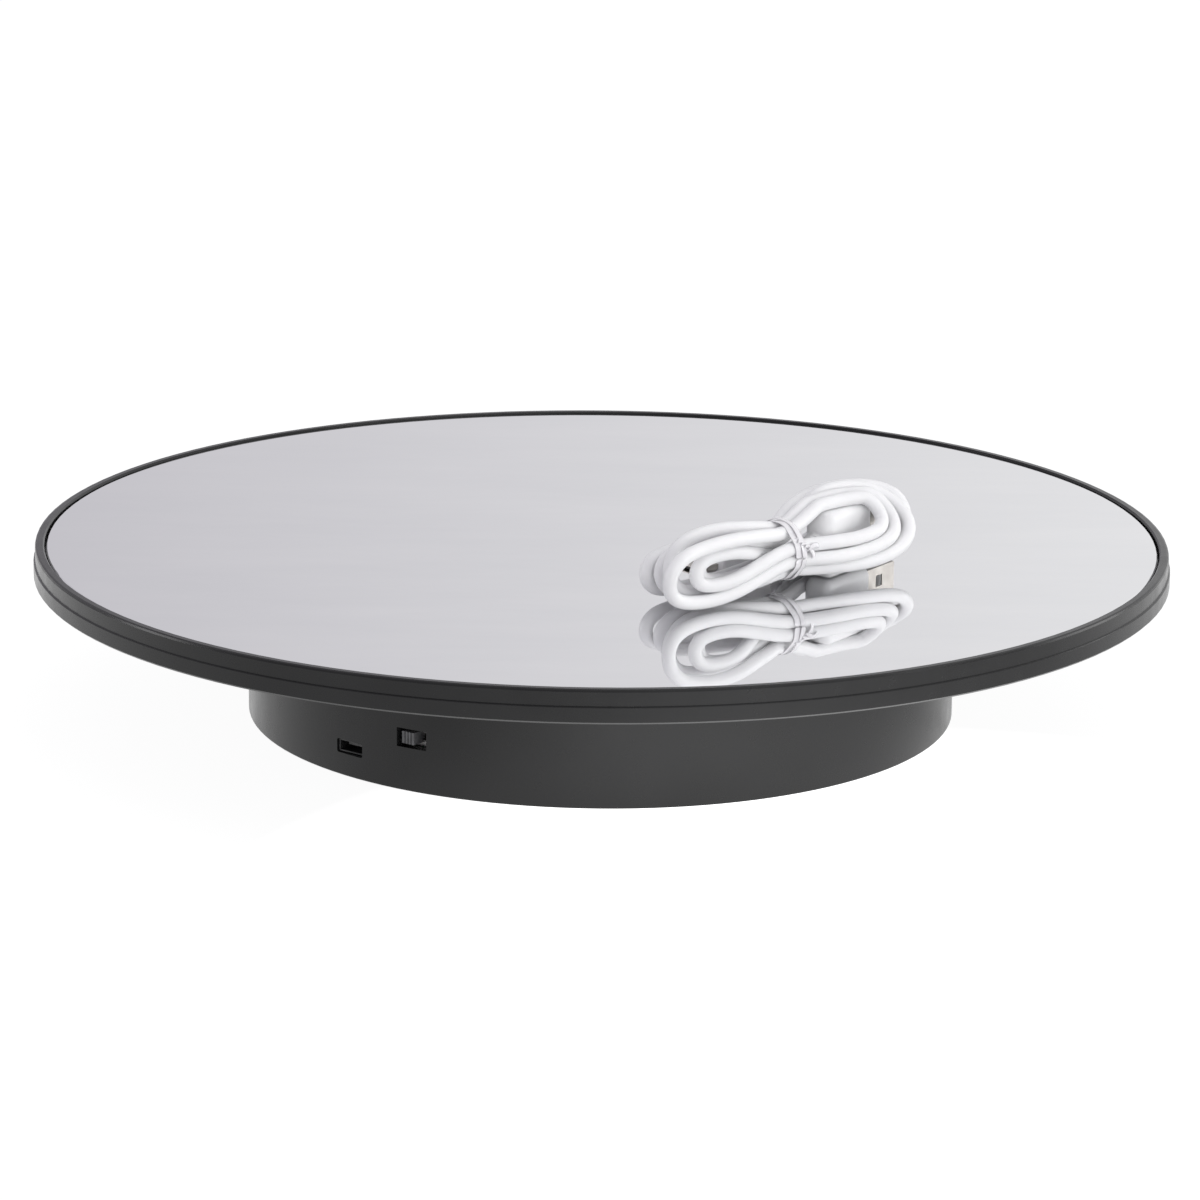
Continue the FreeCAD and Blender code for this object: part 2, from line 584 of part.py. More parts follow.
def feet():
    pads = []
    for angle in FOOT_ANGLES:
        pad = tube(FOOT_R, 0, 0, FOOT_T)
        pad = rounded(pad, 0.5, circle_edge(FOOT_R, 0))
        pad.translate(polar(FOOT_RING_R, angle))
        pads.append(pad)
    return pads


def cover_screws():
    return compound([pan_screw(polar(COVER_SCREW_R, a), HOUSING_Z0 + 1.0, 1.25, 10.5, 2.8, 0.9, down=False)
                     for a in COVER_SCREW_ANGLES])


def cell_rows():
    return [BAY_Y0 + 0.75 + CELL_D * (i + 0.5) for i in range(CELLS)]


def battery_contacts():
    """Flat plates with a raised nub, at the end of each cell that has no spring."""
    plates = []
    for i, y in enumerate(cell_rows()):
        plate = block(BAY_HALF_X - 0.3, BAY_HALF_X, y - 5, y + 5, 6.0, 15.0)
        plate = plate.fuse(Part.makeCylinder(2.2, 0.1, V(BAY_HALF_X - 0.4, y, 10.5), V(1, 0, 0)))
        plates.append(plate if i % 2 == 0 else plate.mirror(V(0, 0, 0), V(1, 0, 0)))
    return compound(plates)


def battery_springs():
    """Bent strip springs at the other end of each cell."""
    springs = []
    wall, reach, thick = -BAY_HALF_X, 5.4, 0.4
    for i, y in enumerate(cell_rows()):
        outline = [(wall, y - 5.5), (wall + reach, y - 0.8), (wall + reach, y + 0.8), (wall, y + 5.5),
                   (wall, y + 5.5 - 1.2), (wall + reach - thick, y + 0.5), (wall + reach - thick, y - 0.5),
                   (wall, y - 5.5 + 1.2)]
        strip = prism(outline, 7.0, 14.0)
        springs.append(strip if i % 2 == 0 else strip.mirror(V(0, 0, 0), V(1, 0, 0)))
    return compound(springs)


# ---------------------------------------------------------------- control board
def circuit_board():
    board = block(-14.9, 14.9, -BOARD_FRONT, -BOARD_FRONT + BOARD_T, COVER_Z1 + 0.1, 17.6)
    parts = [block(-2.5, 0.5, -BOARD_FRONT - 1.4, -BOARD_FRONT, 9, 13),
             Part.makeCylinder(2.5, 7.0, V(0.5, -BOARD_FRONT + BOARD_T, 13.5), V(0, 1, 0)),
             block(-7, -3, -BOARD_FRONT - 0.7, -BOARD_FRONT, 13.5, 15.5)]
    return at_front(board.fuse(parts).removeSplitter())


def usb_socket():
    half_w, half_h, deep = 3.55, 1.35, 6.4
    y1 = -BOARD_FRONT
    y0 = y1 - deep
    shell = block(-half_w, half_w, y0, y1, -half_h, half_h)
    shell = shell.cut(block(-half_w + 0.3, half_w - 0.3, y0 - 1, y1 - 0.8, -half_h + 0.3, half_h - 0.3))
    tongue = block(-1.9, 1.9, y0 + 1.2, y1 - 0.7, 0.05, 0.65)
    socket = shell.fuse(tongue).removeSplitter()
    socket.translate(V(PORT_X, 0, SOCKET_Z))
    return at_front(socket)


def switch_body():
    y1 = -BOARD_FRONT
    can = block(-4.3, 4.3, y1 - SWITCH_DEEP, y1, -2.2, 2.2)
    can = can.cut(block(-4.0, 4.0, y1 - SWITCH_DEEP, y1 - 3.0, -0.8, 0.8))
    can.translate(V(SWITCH_X, 0, SWITCH_Z))
    return at_front(can)


def switch_knob():
    y1 = -BOARD_FRONT - SWITCH_DEEP - 0.1
    face = -math.sqrt(BASE_R ** 2 - KNOB_X ** 2) + 0.3
    knob = block(-KNOB_W / 2, KNOB_W / 2, face, y1, -KNOB_H / 2, KNOB_H / 2)
    knob = knob.fuse(block(-1.4, 1.4, y1 - 0.1, y1 + 1.1, -0.65, 0.65))
    for i in (-1, 0, 1):
        knob = knob.cut(block(0.8 * i - 0.14, 0.8 * i + 0.14, face - 1, face + 0.25, -2, 2))
    knob.translate(V(KNOB_X, 0, SWITCH_Z))
    return at_front(knob.removeSplitter())


# ---------------------------------------------------------------- wiring
def bent_tube(points, radius):
    """Round tube of straight runs joined by tangent arcs through a list of points."""
    corners = []
    for before, here, after in zip(points, points[1:], points[2:]):
        u, w = (here - before), (after - here)
        turn = u.getAngle(w)
        short = min(u.Length, w.Length)
        trim = 0.45 * short
        corners.append((here - u.normalize() * trim, here, here + w.normalize() * trim, turn, trim))
    pieces = []
    start = points[0]
    for near, here, far, turn, trim in corners:
        pieces.append(round_run(start, near, radius))
        pieces.append(round_bend(near, here, far, turn, trim, radius))
        start = far
    pieces.append(round_run(start, points[-1], radius))
    return fused(pieces)


def round_run(a, b, radius):
    return Part.makeCylinder(radius, (b - a).Length, a, b - a)


def round_bend(near, here, far, turn, trim, radius):
    """Part of a torus from near to far, tangent to both runs at here."""
    into, out = (here - near).normalize(), (far - here).normalize()
    bend_r = trim / math.tan(turn / 2)
    axis = into.cross(out).normalize()
    centre = near + axis.cross(into) * bend_r
    disc = Part.Face(Part.Wire(Part.makeCircle(radius, near, into)))
    return disc.revolve(centre, axis, math.degrees(turn))


def board_point(x, back, z):
    """Point behind the control board: x along it, back from its rear face."""
    p = FreeCAD.Rotation(UP, BOARD_TURN).multVec(V(x, -BOARD_FRONT + BOARD_T + back, z))
    return p


def motor_wires():
    wires = []
    for k, x in enumerate((4.5, 7.5)):
        lug = FreeCAD.Rotation(UP, (100, 60)[k]).multVec(V(0, 13.9, 0)) + MOTOR_AT
        start = V(lug.x, lug.y, MOTOR_Z0 + 0.7)
        wires.append(bent_tube([
            start, V(start.x - 7, start.y + 3, 6.5), V(-14, -46 + 4 * k, 8 + 2 * k),
            board_point(x, 9, 8.5), board_point(x, 0, 8.5)], 0.6))
    return compound(wires)


def battery_wires():
    wires = []
    for k, x in enumerate((-4.5, -7.5)):
        y = 24.0 + 5 * k
        wires.append(bent_tube([
            V(-BAY_HALF_X - BAY_WALL, y, 11), V(-36, y, 11), V(-44 - 2 * k, y - 24, 11),
            V(-45 - 2 * k, -22, 12), board_point(x, 9, 13), board_point(x, 0, 13)], 0.6))
    return compound(wires)


# ---------------------------------------------------------------- lead
def on_mirror(shape):
    """Moves a shape from the hank's own frame to its place on the mirror."""
    moved = shape.copy()
    moved.rotate(V(0, 0, 0), UP, HANK_TURN)
    moved.translate(HANK_AT)
    return moved


def at_plug(shape, at, turn):
    """Moves a shape whose nose points along +X from the plug's own frame to the hank's."""
    moved = shape.copy()
    moved.rotate(V(0, 0, 0), UP, turn)
    moved.translate(V(*at))
    return moved


def closed_curve(points):
    curve = Part.BSplineCurve()
    curve.interpolate(Points=points, PeriodicFlag=True)
    return Part.Face(Part.Wire(curve.toShape()))


def hank_envelope():
    """Outer shape of the folded lead: a long bow, pinched where it is tied."""
    plan = closed_curve([V(x, y, -5) for x, y in HANK_PLAN]).extrude(V(0, 0, 40))
    side = closed_curve([V(x, -30, z) for x, z in HANK_SIDE]).extrude(V(0, 60, 0))
    return plan.common(side).common(block(-50, 60, -40, 40, 0, 40))


def cord_hank():
    envelope = hank_envelope()
    plugs = [plug_a_body(), plug_a_shell_outside(), plug_b_body(), plug_b_shell_outside()]
    return envelope.cut(plugs)


def overmould(length, thick, tall, relief_length, relief_r):
    """Moulded plug body behind the origin, with a tapered strain relief at its rear."""
    body = block(-length, 0, -thick / 2, thick / 2, -tall / 2, tall / 2)
    body = body.makeFillet(1.2, [e for e in body.Edges if abs(e.tangentAt(e.FirstParameter).x) > 0.9])
    relief = Part.makeCone(relief_r, relief_r - 0.8, relief_length, V(-length + 0.2, 0, 0), V(-1, 0, 0))
    return body.fuse(relief).removeSplitter()


def plug_a_body():
    length, thick, tall = PLUG_A_BODY
    return at_plug(overmould(length, thick, tall, 5.0, 3.1), PLUG_A_AT, PLUG_A_TURN)


def plug_a_shell_outside():
    length, thick, tall = PLUG_A_SHELL
    return at_plug(block(0, length, -thick / 2, thick / 2, -tall / 2, tall / 2), PLUG_A_AT, PLUG_A_TURN)


def plug_a_shell():
    """Folded sheet shell, open at its nose, with two latch windows in each broad side."""
    length, thick, tall = PLUG_A_SHELL
    wall = 0.3
    cuts = [block(0.01, length + 1, -thick / 2 + wall, thick / 2 - wall, -tall / 2 + wall, tall / 2 - wall)]
    cuts += [block(4.4, 6.9, -thick, thick, z - 1.25, z + 1.25) for z in (-2.9, 2.9)]
    shell = block(0, length, -thick / 2, thick / 2, -tall / 2, tall / 2).cut(cuts)
    return at_plug(shell, PLUG_A_AT, PLUG_A_TURN)


def plug_a_tongue():
    length, thick, tall = PLUG_A_SHELL
    return at_plug(block(0.01, length - 0.6, 0.0, thick / 2 - 0.31, -tall / 2 + 0.31, tall / 2 - 0.31),
                   PLUG_A_AT, PLUG_A_TURN)


def plug_b_body():
    length, thick, tall = PLUG_B_BODY
    return at_plug(overmould(length, thick, tall, 7.0, 2.9), PLUG_B_AT, PLUG_B_TURN)


def plug_b_shell_outside():
    length, wide, tall = PLUG_B_SHELL
    return at_plug(block(0, length, -wide / 2, wide / 2, -tall / 2, tall / 2), PLUG_B_AT, PLUG_B_TURN)


def plug_b_shell():
    """Small plug's shell: narrower across its lower corners, open at its nose."""
    length, wide, tall = PLUG_B_SHELL

    def outline(inset):
        w, h, low = wide / 2 - inset, tall / 2 - inset, wide / 2 - 0.9 - inset
        points = [V(0, -w, h), V(0, w, h), V(0, w, -h + 0.8),
                  V(0, low, -h), V(0, -low, -h), V(0, -w, -h + 0.8)]
        return Part.Face(Part.makePolygon(points + points[:1]))

    space = outline(0.25).extrude(V(length, 0, 0))
    space.translate(V(0.01, 0, 0))
    shell = outline(0.0).extrude(V(length, 0, 0)).cut(space)
    return at_plug(shell, PLUG_B_AT, PLUG_B_TURN)


def plug_b_tongue():
    length, wide, tall = PLUG_B_SHELL
    return at_plug(block(0.01, length - 0.8, -wide / 2 + 1.2, wide / 2 - 1.2, -0.25, 0.35),
                   PLUG_B_AT, PLUG_B_TURN)


def hank_tie():
    """Twist tie round the hank's waist, with its twisted ends at the front."""
    ring = block(TIE_X0, TIE_X1, -7.6, 7.1, 0.6, 16.0)
    ring = ring.makeFillet(2.0, [e for e in ring.Edges if abs(e.tangentAt(e.FirstParameter).x) > 0.9])
    middle = (TIE_X0 + TIE_X1) / 2
    knot = Part.makeCylinder(1.5, 5.0, V(middle, -7.0, 11.3), V(0.78, -0.33, -0.53))
    end = Part.makeCylinder(0.6, 6.0, V(middle, -7.0, 11.3), V(0.6, -0.3, -0.75))
    return ring.fuse([knot, end]).cut(hank_envelope()).removeSplitter()


# ---------------------------------------------------------------- export
def main():
    os.makedirs("parts", exist_ok=True)
    save("platter", platter())
    save("mirror", mirror())
    save("adhesive_pad", adhesive_pad())
    save("platter_screw", platter_screw())
    save("spindle_shaft", spindle_shaft())
    save("spindle_gear", spindle_gear())
    save("spindle_bush", spindle_bush())
    save("compound_gear_1", compound_gear_1())
    save("compound_gear_2", compound_gear_2())
    save("compound_gear_3", compound_gear_3())
    save("motor_pinion", motor_pinion())
    save("motor_shaft", motor_shaft())
    save("motor_can", motor_can())
    save("motor_end_cap", motor_end_cap())
    save("motor_screws", motor_screws())
    save("gear_axles", gear_axles())
    save("gear_plate", gear_plate())
    save("gear_plate_screws", plate_screws())
    save("base_shell", base_shell())
    save("bottom_cover", bottom_cover())
    save("cover_screws", cover_screws())
    save("battery_door", battery_door())
    save("battery_contacts", battery_contacts())
    save("battery_springs", battery_springs())
    for number, pad in enumerate(feet(), 1):
        save(f"foot_{number}", pad)
    for number, angle in enumerate(ROLLER_ANGLES, 1):
        save(f"roller_{number}", roller(angle))
    save("roller_pins", roller_pins())
    save("circuit_board", circuit_board())
    save("usb_socket", usb_socket())
    save("switch_body", switch_body())
    save("switch_knob", switch_knob())
    save("motor_wires", motor_wires())
    save("battery_wires", battery_wires())
    save("cord_hank", on_mirror(cord_hank()))
    save("hank_tie", on_mirror(hank_tie()))
    save("usb_a_plug_body", on_mirror(plug_a_body()))
    save("usb_a_plug_shell", on_mirror(plug_a_shell()))
    save("usb_a_plug_tongue", on_mirror(plug_a_tongue()))
    save("micro_plug_body", on_mirror(plug_b_body()))
    save("micro_plug_shell", on_mirror(plug_b_shell()))
    save("micro_plug_tongue", on_mirror(plug_b_tongue()))


main()
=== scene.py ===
"""Looks of the mirror turntable stand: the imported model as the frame, a folded lead on the mirror,
and a procedural material for every piece.  Metres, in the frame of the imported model."""

import json
import math

import bmesh
import bpy
import numpy as np
from mathutils import Matrix, Vector


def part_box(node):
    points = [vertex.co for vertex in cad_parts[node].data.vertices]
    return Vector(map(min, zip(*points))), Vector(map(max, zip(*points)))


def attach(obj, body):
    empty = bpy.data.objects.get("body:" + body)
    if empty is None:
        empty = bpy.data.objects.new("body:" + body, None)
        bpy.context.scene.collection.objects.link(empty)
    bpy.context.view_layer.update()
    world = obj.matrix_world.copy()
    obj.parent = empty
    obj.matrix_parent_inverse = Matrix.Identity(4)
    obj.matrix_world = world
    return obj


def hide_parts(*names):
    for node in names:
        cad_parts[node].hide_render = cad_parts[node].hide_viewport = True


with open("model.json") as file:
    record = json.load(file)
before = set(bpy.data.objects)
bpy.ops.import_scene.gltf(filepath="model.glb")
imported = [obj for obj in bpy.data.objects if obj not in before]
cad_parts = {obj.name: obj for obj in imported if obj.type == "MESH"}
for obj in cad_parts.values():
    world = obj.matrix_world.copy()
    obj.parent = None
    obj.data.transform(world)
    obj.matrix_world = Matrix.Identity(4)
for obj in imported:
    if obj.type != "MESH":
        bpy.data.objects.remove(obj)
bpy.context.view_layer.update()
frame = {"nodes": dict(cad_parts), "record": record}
nodes = frame["nodes"]

MM = 0.001
MIRROR_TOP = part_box("mirror")[1].z
RIM_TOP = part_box("platter")[1].z

# Lead, in its own frame in millimetres: x along the hank, y to its rear, z above the mirror.
HANK_AT = Vector((0.0360, -0.0445, MIRROR_TOP))
HANK_TURN = math.radians(39.0)
LEAD_D = 3.0
TIE_X = 1.5                          # middle of the tie
PLUG_A_AT, PLUG_A_TURN = (28.4, 4.6, 7.4), math.radians(16.0)
PLUG_A_BODY = (17.0, 7.0, 14.4)      # length, thickness and height
PLUG_A_SHELL = (11.8, 4.5, 12.0)
PLUG_B_AT, PLUG_B_TURN = (-6.5, 13.0, 3.5), math.radians(176.0)
PLUG_B_BODY = (15.0, 9.8, 6.8)
CORNER_STEPS = 10                    # round each corner of a plug's section
SOFT_END = 0.9                       # depth of the rounding at a plug's nose
BACK_TAPER = 2.6                     # length of the narrowing at a plug's back
RIBS, RIB_GROOVE = 4, 0.28           # of the strain relief, and how deep its grooves are
STEP = 2.5                           # between the points of the lead's spline
LEAD_START = (9.2, -0.9, 7.4)        # inside the big plug's strain relief
LEAD_END = (14.0, 11.6, 3.5)         # inside the small plug's strain relief
LEAD_TAIL = ((25.0, 12.4, 6.5), (19.5, 12.0, 4.2))    # on the way down to the small plug

# One line a turn.  Each turn goes over the tie's slot at the top, round a left loop, through a low slot
# and round a right loop.  A slot is (y, z); a loop is (reach from the tie, its low run, its high run).
TURNS = (
    ((1.4, 7.0), (-29.0, (-5.6, 4.6), (-6.4, 12.4)), (-4.3, 9.8), (28.5, (-6.4, 9.2), (2.3, 16.2))),
    ((-2.2, 12.4), (-37.0, (-5.8, 1.5), (-8.5, 15.2)), (-4.4, 7.0), (32.5, (-6.8, 6.4), (5.0, 16.8))),
    ((0.8, 12.4), (-31.7, (-1.0, 1.5), (-0.5, 15.8)), (-2.6, 4.2), (36.8, (-7.0, 3.6), (7.4, 17.8))),
    ((1.5, 9.8), (-26.0, (-2.8, 4.4), (-4.0, 12.8)), (-1.5, 7.0), (39.0, (-4.4, 6.6), (9.6, 17.2))),
    ((3.4, 12.2), (-30.6, (2.4, 1.5), (4.6, 11.4)), (0.3, 4.2), (39.6, (10.6, 1.6), (12.0, 14.4))),
    ((4.4, 9.6), (-31.5, (6.8, 1.5), (7.6, 10.4)), (3.0, 4.4), (35.0, (13.2, 1.6), (13.0, 11.0))),
)
WAIST_CENTRE, WAIST_R = (0.0, 8.2), 4.8    # (y, z) and radius of the strands' lines at the tie
PLUG_BLOCKS = (                      # where, which way, from, to along it, half its width and height
    (PLUG_A_AT, PLUG_A_TURN, -PLUG_A_BODY[0], 0.0, PLUG_A_BODY[1] / 2, PLUG_A_BODY[2] / 2),
    (PLUG_A_AT, PLUG_A_TURN, 0.0, PLUG_A_SHELL[0], PLUG_A_SHELL[1] / 2, PLUG_A_SHELL[2] / 2),
    (PLUG_B_AT, PLUG_B_TURN, -PLUG_B_BODY[0], 0.0, PLUG_B_BODY[1] / 2, PLUG_B_BODY[2] / 2),
)
RUN_SHAPE = ((0.28, 0.35), (0.56, 0.88), (0.80, 1.0))    # share of the reach, share of the way out
BEND_ANGLES = (-54, -18, 18, 54)     # points round the end of a loop

# How the strands settle, in millimetres and shares a round.
SETTLE_ROUNDS = 260
OWN_NEIGHBOUR = 2.8                  # diameters along the lead inside which it doesn't push itself
REST_SHARE = 0.965                   # rest length of a step
PUSH_SHARE, PUSH_LIMIT = 0.3, 0.5
BEND_SHARE = 0.22
SLACK_SHARE = 0.45
HOME_SHARE = 0.03
HOLD_FULL, HOLD_REACH = 1.6, 2.5     # the tie's hold falls off along the hank from full
PLUG_SHARE, PLUG_MARGIN = 0.5, 1

# Twist tie, in millimetres.
TIE_WRAPS = ((-0.4, 0.12, 2.4), (0.7, 0.40, 1.5))    # shift along the hank, lift and width
TIE_SLANT = 1.1
TIE_START, KNOT_AT = 0.53, 0.42      # shares of the way round the waist
NECK_POINTS = 19
NECK_STEP = 0.62                     # twist between the points of the neck, in radians

FLOOR_Y, FLOOR_Z = 0.6, -0.0002
FLOOR_HALF = 3.2
FLOOR_GLOW_AT = (0.06, -0.15 - FLOOR_Y)    # middle of the brighter patch, on the floor's own plane
FLOOR_GLOW = (2.3, 0.95, 0.05, 0.14)       # strength there and beyond, and the distances it falls between

# Softboxes: name, azimuth from the front, distance, height, size and power.
SOFTBOXES = (
    ("strip_left", -92, 0.8, 0.16, (0.2, 0.3), 0.6),
    ("panel_right", 30, 1.1, 0.16, (0.9, 0.3), 1.6),
    ("strip_right", 60, 0.9, 0.16, (0.12, 0.3), 0.5),
    ("strip_far_right", 104, 0.8, 0.16, (0.3, 0.3), 0.6),
)
CAMERA_TILT, CAMERA_ROLL = math.radians(14.183), math.radians(0.59)
CAMERA_DISTANCE, CAMERA_LENS = 1.0, 135.54
CAMERA_SHIFT = (-0.00175, -0.05584)


# ---------------------------------------------------------------- helpers
def hank_matrix():
    """From the hank's own frame, in millimetres, to the row frame."""
    return Matrix.Translation(HANK_AT) @ Matrix.Rotation(HANK_TURN, 4, "Z") @ Matrix.Scale(MM, 4)


def plug_matrix(at, turn):
    """From a plug's own frame, nose along +X, to the row frame."""
    return hank_matrix() @ Matrix.Translation(at) @ Matrix.Rotation(turn, 4, "Z")


def mesh_object(name, bm):
    """Smooth-shaded object made from bm, which is freed."""
    bmesh.ops.recalc_face_normals(bm, faces=bm.faces)
    mesh = bpy.data.meshes.new(name)
    bm.to_mesh(mesh)
    bm.free()
    for face in mesh.polygons:
        face.use_smooth = True
    made = bpy.data.objects.new(name, mesh)
    bpy.context.scene.collection.objects.link(made)
    return made


def loft(name, rings, matrix):
    """Closed skin over rings that have the same number of points."""
    bm = bmesh.new()
    loops = [[bm.verts.new(matrix @ Vector(p)) for p in ring] for ring in rings]
    count = len(loops[0])
    for one, two in zip(loops, loops[1:]):
        for i in range(count):
            j = (i + 1) % count
            bm.faces.new((one[i], one[j], two[j], two[i]))
    bm.faces.new(loops[0][::-1])
    bm.faces.new(loops[-1])
    return mesh_object(name, bm)


def add_subdivision(piece):
    """One level of subdivision."""
    modifier = piece.modifiers.new("subdivision", "SUBSURF")
    modifier.levels = 1
    modifier.render_levels = 1


def dress(piece, material, body):
    """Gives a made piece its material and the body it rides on."""
    piece.data.materials.clear()
    piece.data.materials.append(material)
    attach(piece, body)


# ---------------------------------------------------------------- materials
def new_material(name):
    """A material with its node tree and its shader."""
    material = bpy.data.materials.new(name)
    material.use_nodes = True
    tree = material.node_tree
    return material, tree, tree.nodes["Principled BSDF"]


def noise(tree, scale, detail=3.0, roughness=0.5, stretch=(1, 1, 1)):
    """Noise over the object's own coordinates; scale is in waves a metre."""
    coordinates = tree.nodes.new("ShaderNodeTexCoord")
    mapping = tree.nodes.new("ShaderNodeMapping")
    mapping.inputs["Scale"].default_value = stretch
    texture = tree.nodes.new("ShaderNodeTexNoise")
    texture.inputs["Scale"].default_value = scale
    texture.inputs["Detail"].default_value = detail
    texture.inputs["Roughness"].default_value = roughness
    tree.links.new(coordinates.outputs["Object"], mapping.inputs["Vector"])
    tree.links.new(mapping.outputs["Vector"], texture.inputs["Vector"])
    return texture.outputs["Fac"]


def ranged(tree, value, low, high, start=0.3, end=0.7):
    """Spreads a value that runs from start to end over low to high."""
    spread = tree.nodes.new("ShaderNodeMapRange")
    spread.inputs["From Min"].default_value = start
    spread.inputs["From Max"].default_value = end
    spread.inputs["To Min"].default_value = low
    spread.inputs["To Max"].default_value = high
    tree.links.new(value, spread.inputs["Value"])
    return spread.outputs["Result"]


def blend_colours(tree, value, one, two):
    """Colour that goes from one to two as the value rises."""
    node = tree.nodes.new("ShaderNodeMix")
    node.data_type = "RGBA"
    node.inputs["A"].default_value = (*one, 1)
    node.inputs["B"].default_value = (*two, 1)
    tree.links.new(value, node.inputs["Factor"])
    return node.outputs["Result"]


def bump(tree, height, depth, under=None):
    """Bump of that depth in metres, on top of another bump where one is given."""
    node = tree.nodes.new("ShaderNodeBump")
    node.inputs["Distance"].default_value = depth
    node.inputs["Strength"].default_value = 1.0
    tree.links.new(height, node.inputs["Height"])
    if under:
        tree.links.new(under, node.inputs["Normal"])
    return node.outputs["Normal"]


def surface(name, one, two, rough, patch=60, grain=1500, grain_depth=0.00001, metallic=0.0, ior=1.5,
            coat=0.0, coat_rough=0.1, subsurface=0.0, stretch=(1, 1, 1)):
    """Material with two close tints in patches, uneven roughness and a fine grain."""
    material, tree, shader = new_material(name)
    patches = noise(tree, patch, detail=5)
    tint = blend_colours(tree, ranged(tree, patches, 0, 1), one, two)
    tree.links.new(tint, shader.inputs["Base Color"])
    wear = noise(tree, patch * 4, detail=6, roughness=0.65)
    tree.links.new(ranged(tree, wear, *rough), shader.inputs["Roughness"])
    fine = noise(tree, grain, detail=2, stretch=stretch)
    tree.links.new(bump(tree, fine, grain_depth), shader.inputs["Normal"])
    shader.inputs["Metallic"].default_value = metallic
    shader.inputs["IOR"].default_value = ior
    shader.inputs["Coat Weight"].default_value = coat
    shader.inputs["Coat Roughness"].default_value = coat_rough
    if subsurface:
        shader.inputs["Subsurface Weight"].default_value = subsurface
        shader.inputs["Subsurface Radius"].default_value = (0.002, 0.002, 0.002)
        shader.inputs["Subsurface Scale"].default_value = 1.0
    return material


def rim_plastic():
    """Glossy black moulding of the platter."""
    return surface("rim_plastic", (0.007, 0.007, 0.0073), (0.011, 0.011, 0.0115), (0.20, 0.30),
                   patch=45, grain=2200, grain_depth=0.000004, ior=1.36)


def base_plastic():
    """Satin black moulding of the housing, with a faint orange peel."""
    material, tree, shader = new_material("base_plastic")
    tint = blend_colours(tree, ranged(tree, noise(tree, 40, detail=5), 0, 1),
                         (0.005, 0.005, 0.0052), (0.009, 0.009, 0.0094))
    tree.links.new(tint, shader.inputs["Base Color"])
    wear = noise(tree, 220, detail=6, roughness=0.7)
    tree.links.new(ranged(tree, wear, 0.26, 0.38), shader.inputs["Roughness"])
    peel = bump(tree, noise(tree, 900, detail=2), 0.000006)
    tree.links.new(bump(tree, noise(tree, 5200, detail=2), 0.000002, under=peel), shader.inputs["Normal"])
    shader.inputs["IOR"].default_value = 1.3
    return material


def mirror_glass():
    """Silvered glass: nearly clean, with a few faint wipe marks."""
    material, tree, shader = new_material("mirror_glass")
    smears = noise(tree, 18, detail=6, roughness=0.6, stretch=(1, 3.5, 1))
    tint = blend_colours(tree, ranged(tree, smears, 0, 1), (0.87, 0.875, 0.885), (0.91, 0.912, 0.918))
    tree.links.new(tint, shader.inputs["Base Color"])
    tree.links.new(ranged(tree, noise(tree, 45, detail=7, roughness=0.7), 0.008, 0.03),
                   shader.inputs["Roughness"])
    shader.inputs["Metallic"].default_value = 1.0
    return material


def foam_pad():
    """Grey closed-cell foam."""
    material, tree, shader = new_material("foam_pad")
    cells = tree.nodes.new("ShaderNodeTexVoronoi")
    cells.inputs["Scale"].default_value = 1600
    coordinates = tree.nodes.new("ShaderNodeTexCoord")
    tree.links.new(coordinates.outputs["Object"], cells.inputs["Vector"])
    tint = blend_colours(tree, cells.outputs["Distance"], (0.10, 0.10, 0.10), (0.30, 0.30, 0.29))
    tree.links.new(tint, shader.inputs["Base Color"])
    tree.links.new(bump(tree, cells.outputs["Distance"], 0.0002), shader.inputs["Normal"])
    tree.links.new(ranged(tree, noise(tree, 300), 0.8, 0.95), shader.inputs["Roughness"])
    return material


def circuit_green():
    """Green solder mask with paler lines for the copper under it."""
    material, tree, shader = new_material("circuit_green")
    coordinates = tree.nodes.new("ShaderNodeTexCoord")
    tracks = tree.nodes.new("ShaderNodeTexBrick")
    tracks.inputs["Scale"].default_value = 220
    tracks.inputs["Mortar Size"].default_value = 0.06
    tracks.inputs["Color1"].default_value = (0.006, 0.085, 0.025, 1)
    tracks.inputs["Color2"].default_value = (0.008, 0.10, 0.03, 1)
    tracks.inputs["Mortar"].default_value = (0.02, 0.19, 0.06, 1)
    tree.links.new(coordinates.outputs["Object"], tracks.inputs["Vector"])
    tree.links.new(tracks.outputs["Color"], shader.inputs["Base Color"])
    tree.links.new(bump(tree, tracks.outputs["Fac"], 0.00003), shader.inputs["Normal"])
    tree.links.new(ranged(tree, noise(tree, 400), 0.25, 0.4), shader.inputs["Roughness"])
    shader.inputs["Coat Weight"].default_value = 0.4
    return material


def lead_sheath():
    """Soft white sheath of the lead: smooth, slightly glossy, with faint handling marks."""
    return surface("lead_sheath", (0.80, 0.80, 0.81), (0.86, 0.86, 0.865), (0.30, 0.44), patch=90,
                   grain=2600, grain_depth=0.000008, ior=1.47, subsurface=0.15)


def plug_moulding():
    """Matt white moulding of the plug bodies."""
    return surface("plug_moulding", (0.80, 0.80, 0.81), (0.86, 0.86, 0.865), (0.36, 0.5), patch=120,
                   grain=6000, grain_depth=0.00001, ior=1.47, subsurface=0.15)


def tie_film():
    """Plastic film of the twist tie, milky and glossy."""
    return surface("tie_film", (0.72, 0.71, 0.73), (0.84, 0.83, 0.85), (0.12, 0.3), patch=500,
                   grain=1500, grain_depth=0.00006, ior=1.5, coat=0.5, coat_rough=0.08)


def plug_metal():
    """Brushed nickel of the plug shells."""
    return surface("plug_metal", (0.36, 0.34, 0.32), (0.46, 0.44, 0.415), (0.32, 0.46), patch=260,
                   grain=5000, grain_depth=0.000006, metallic=1.0, stretch=(1, 1, 9))


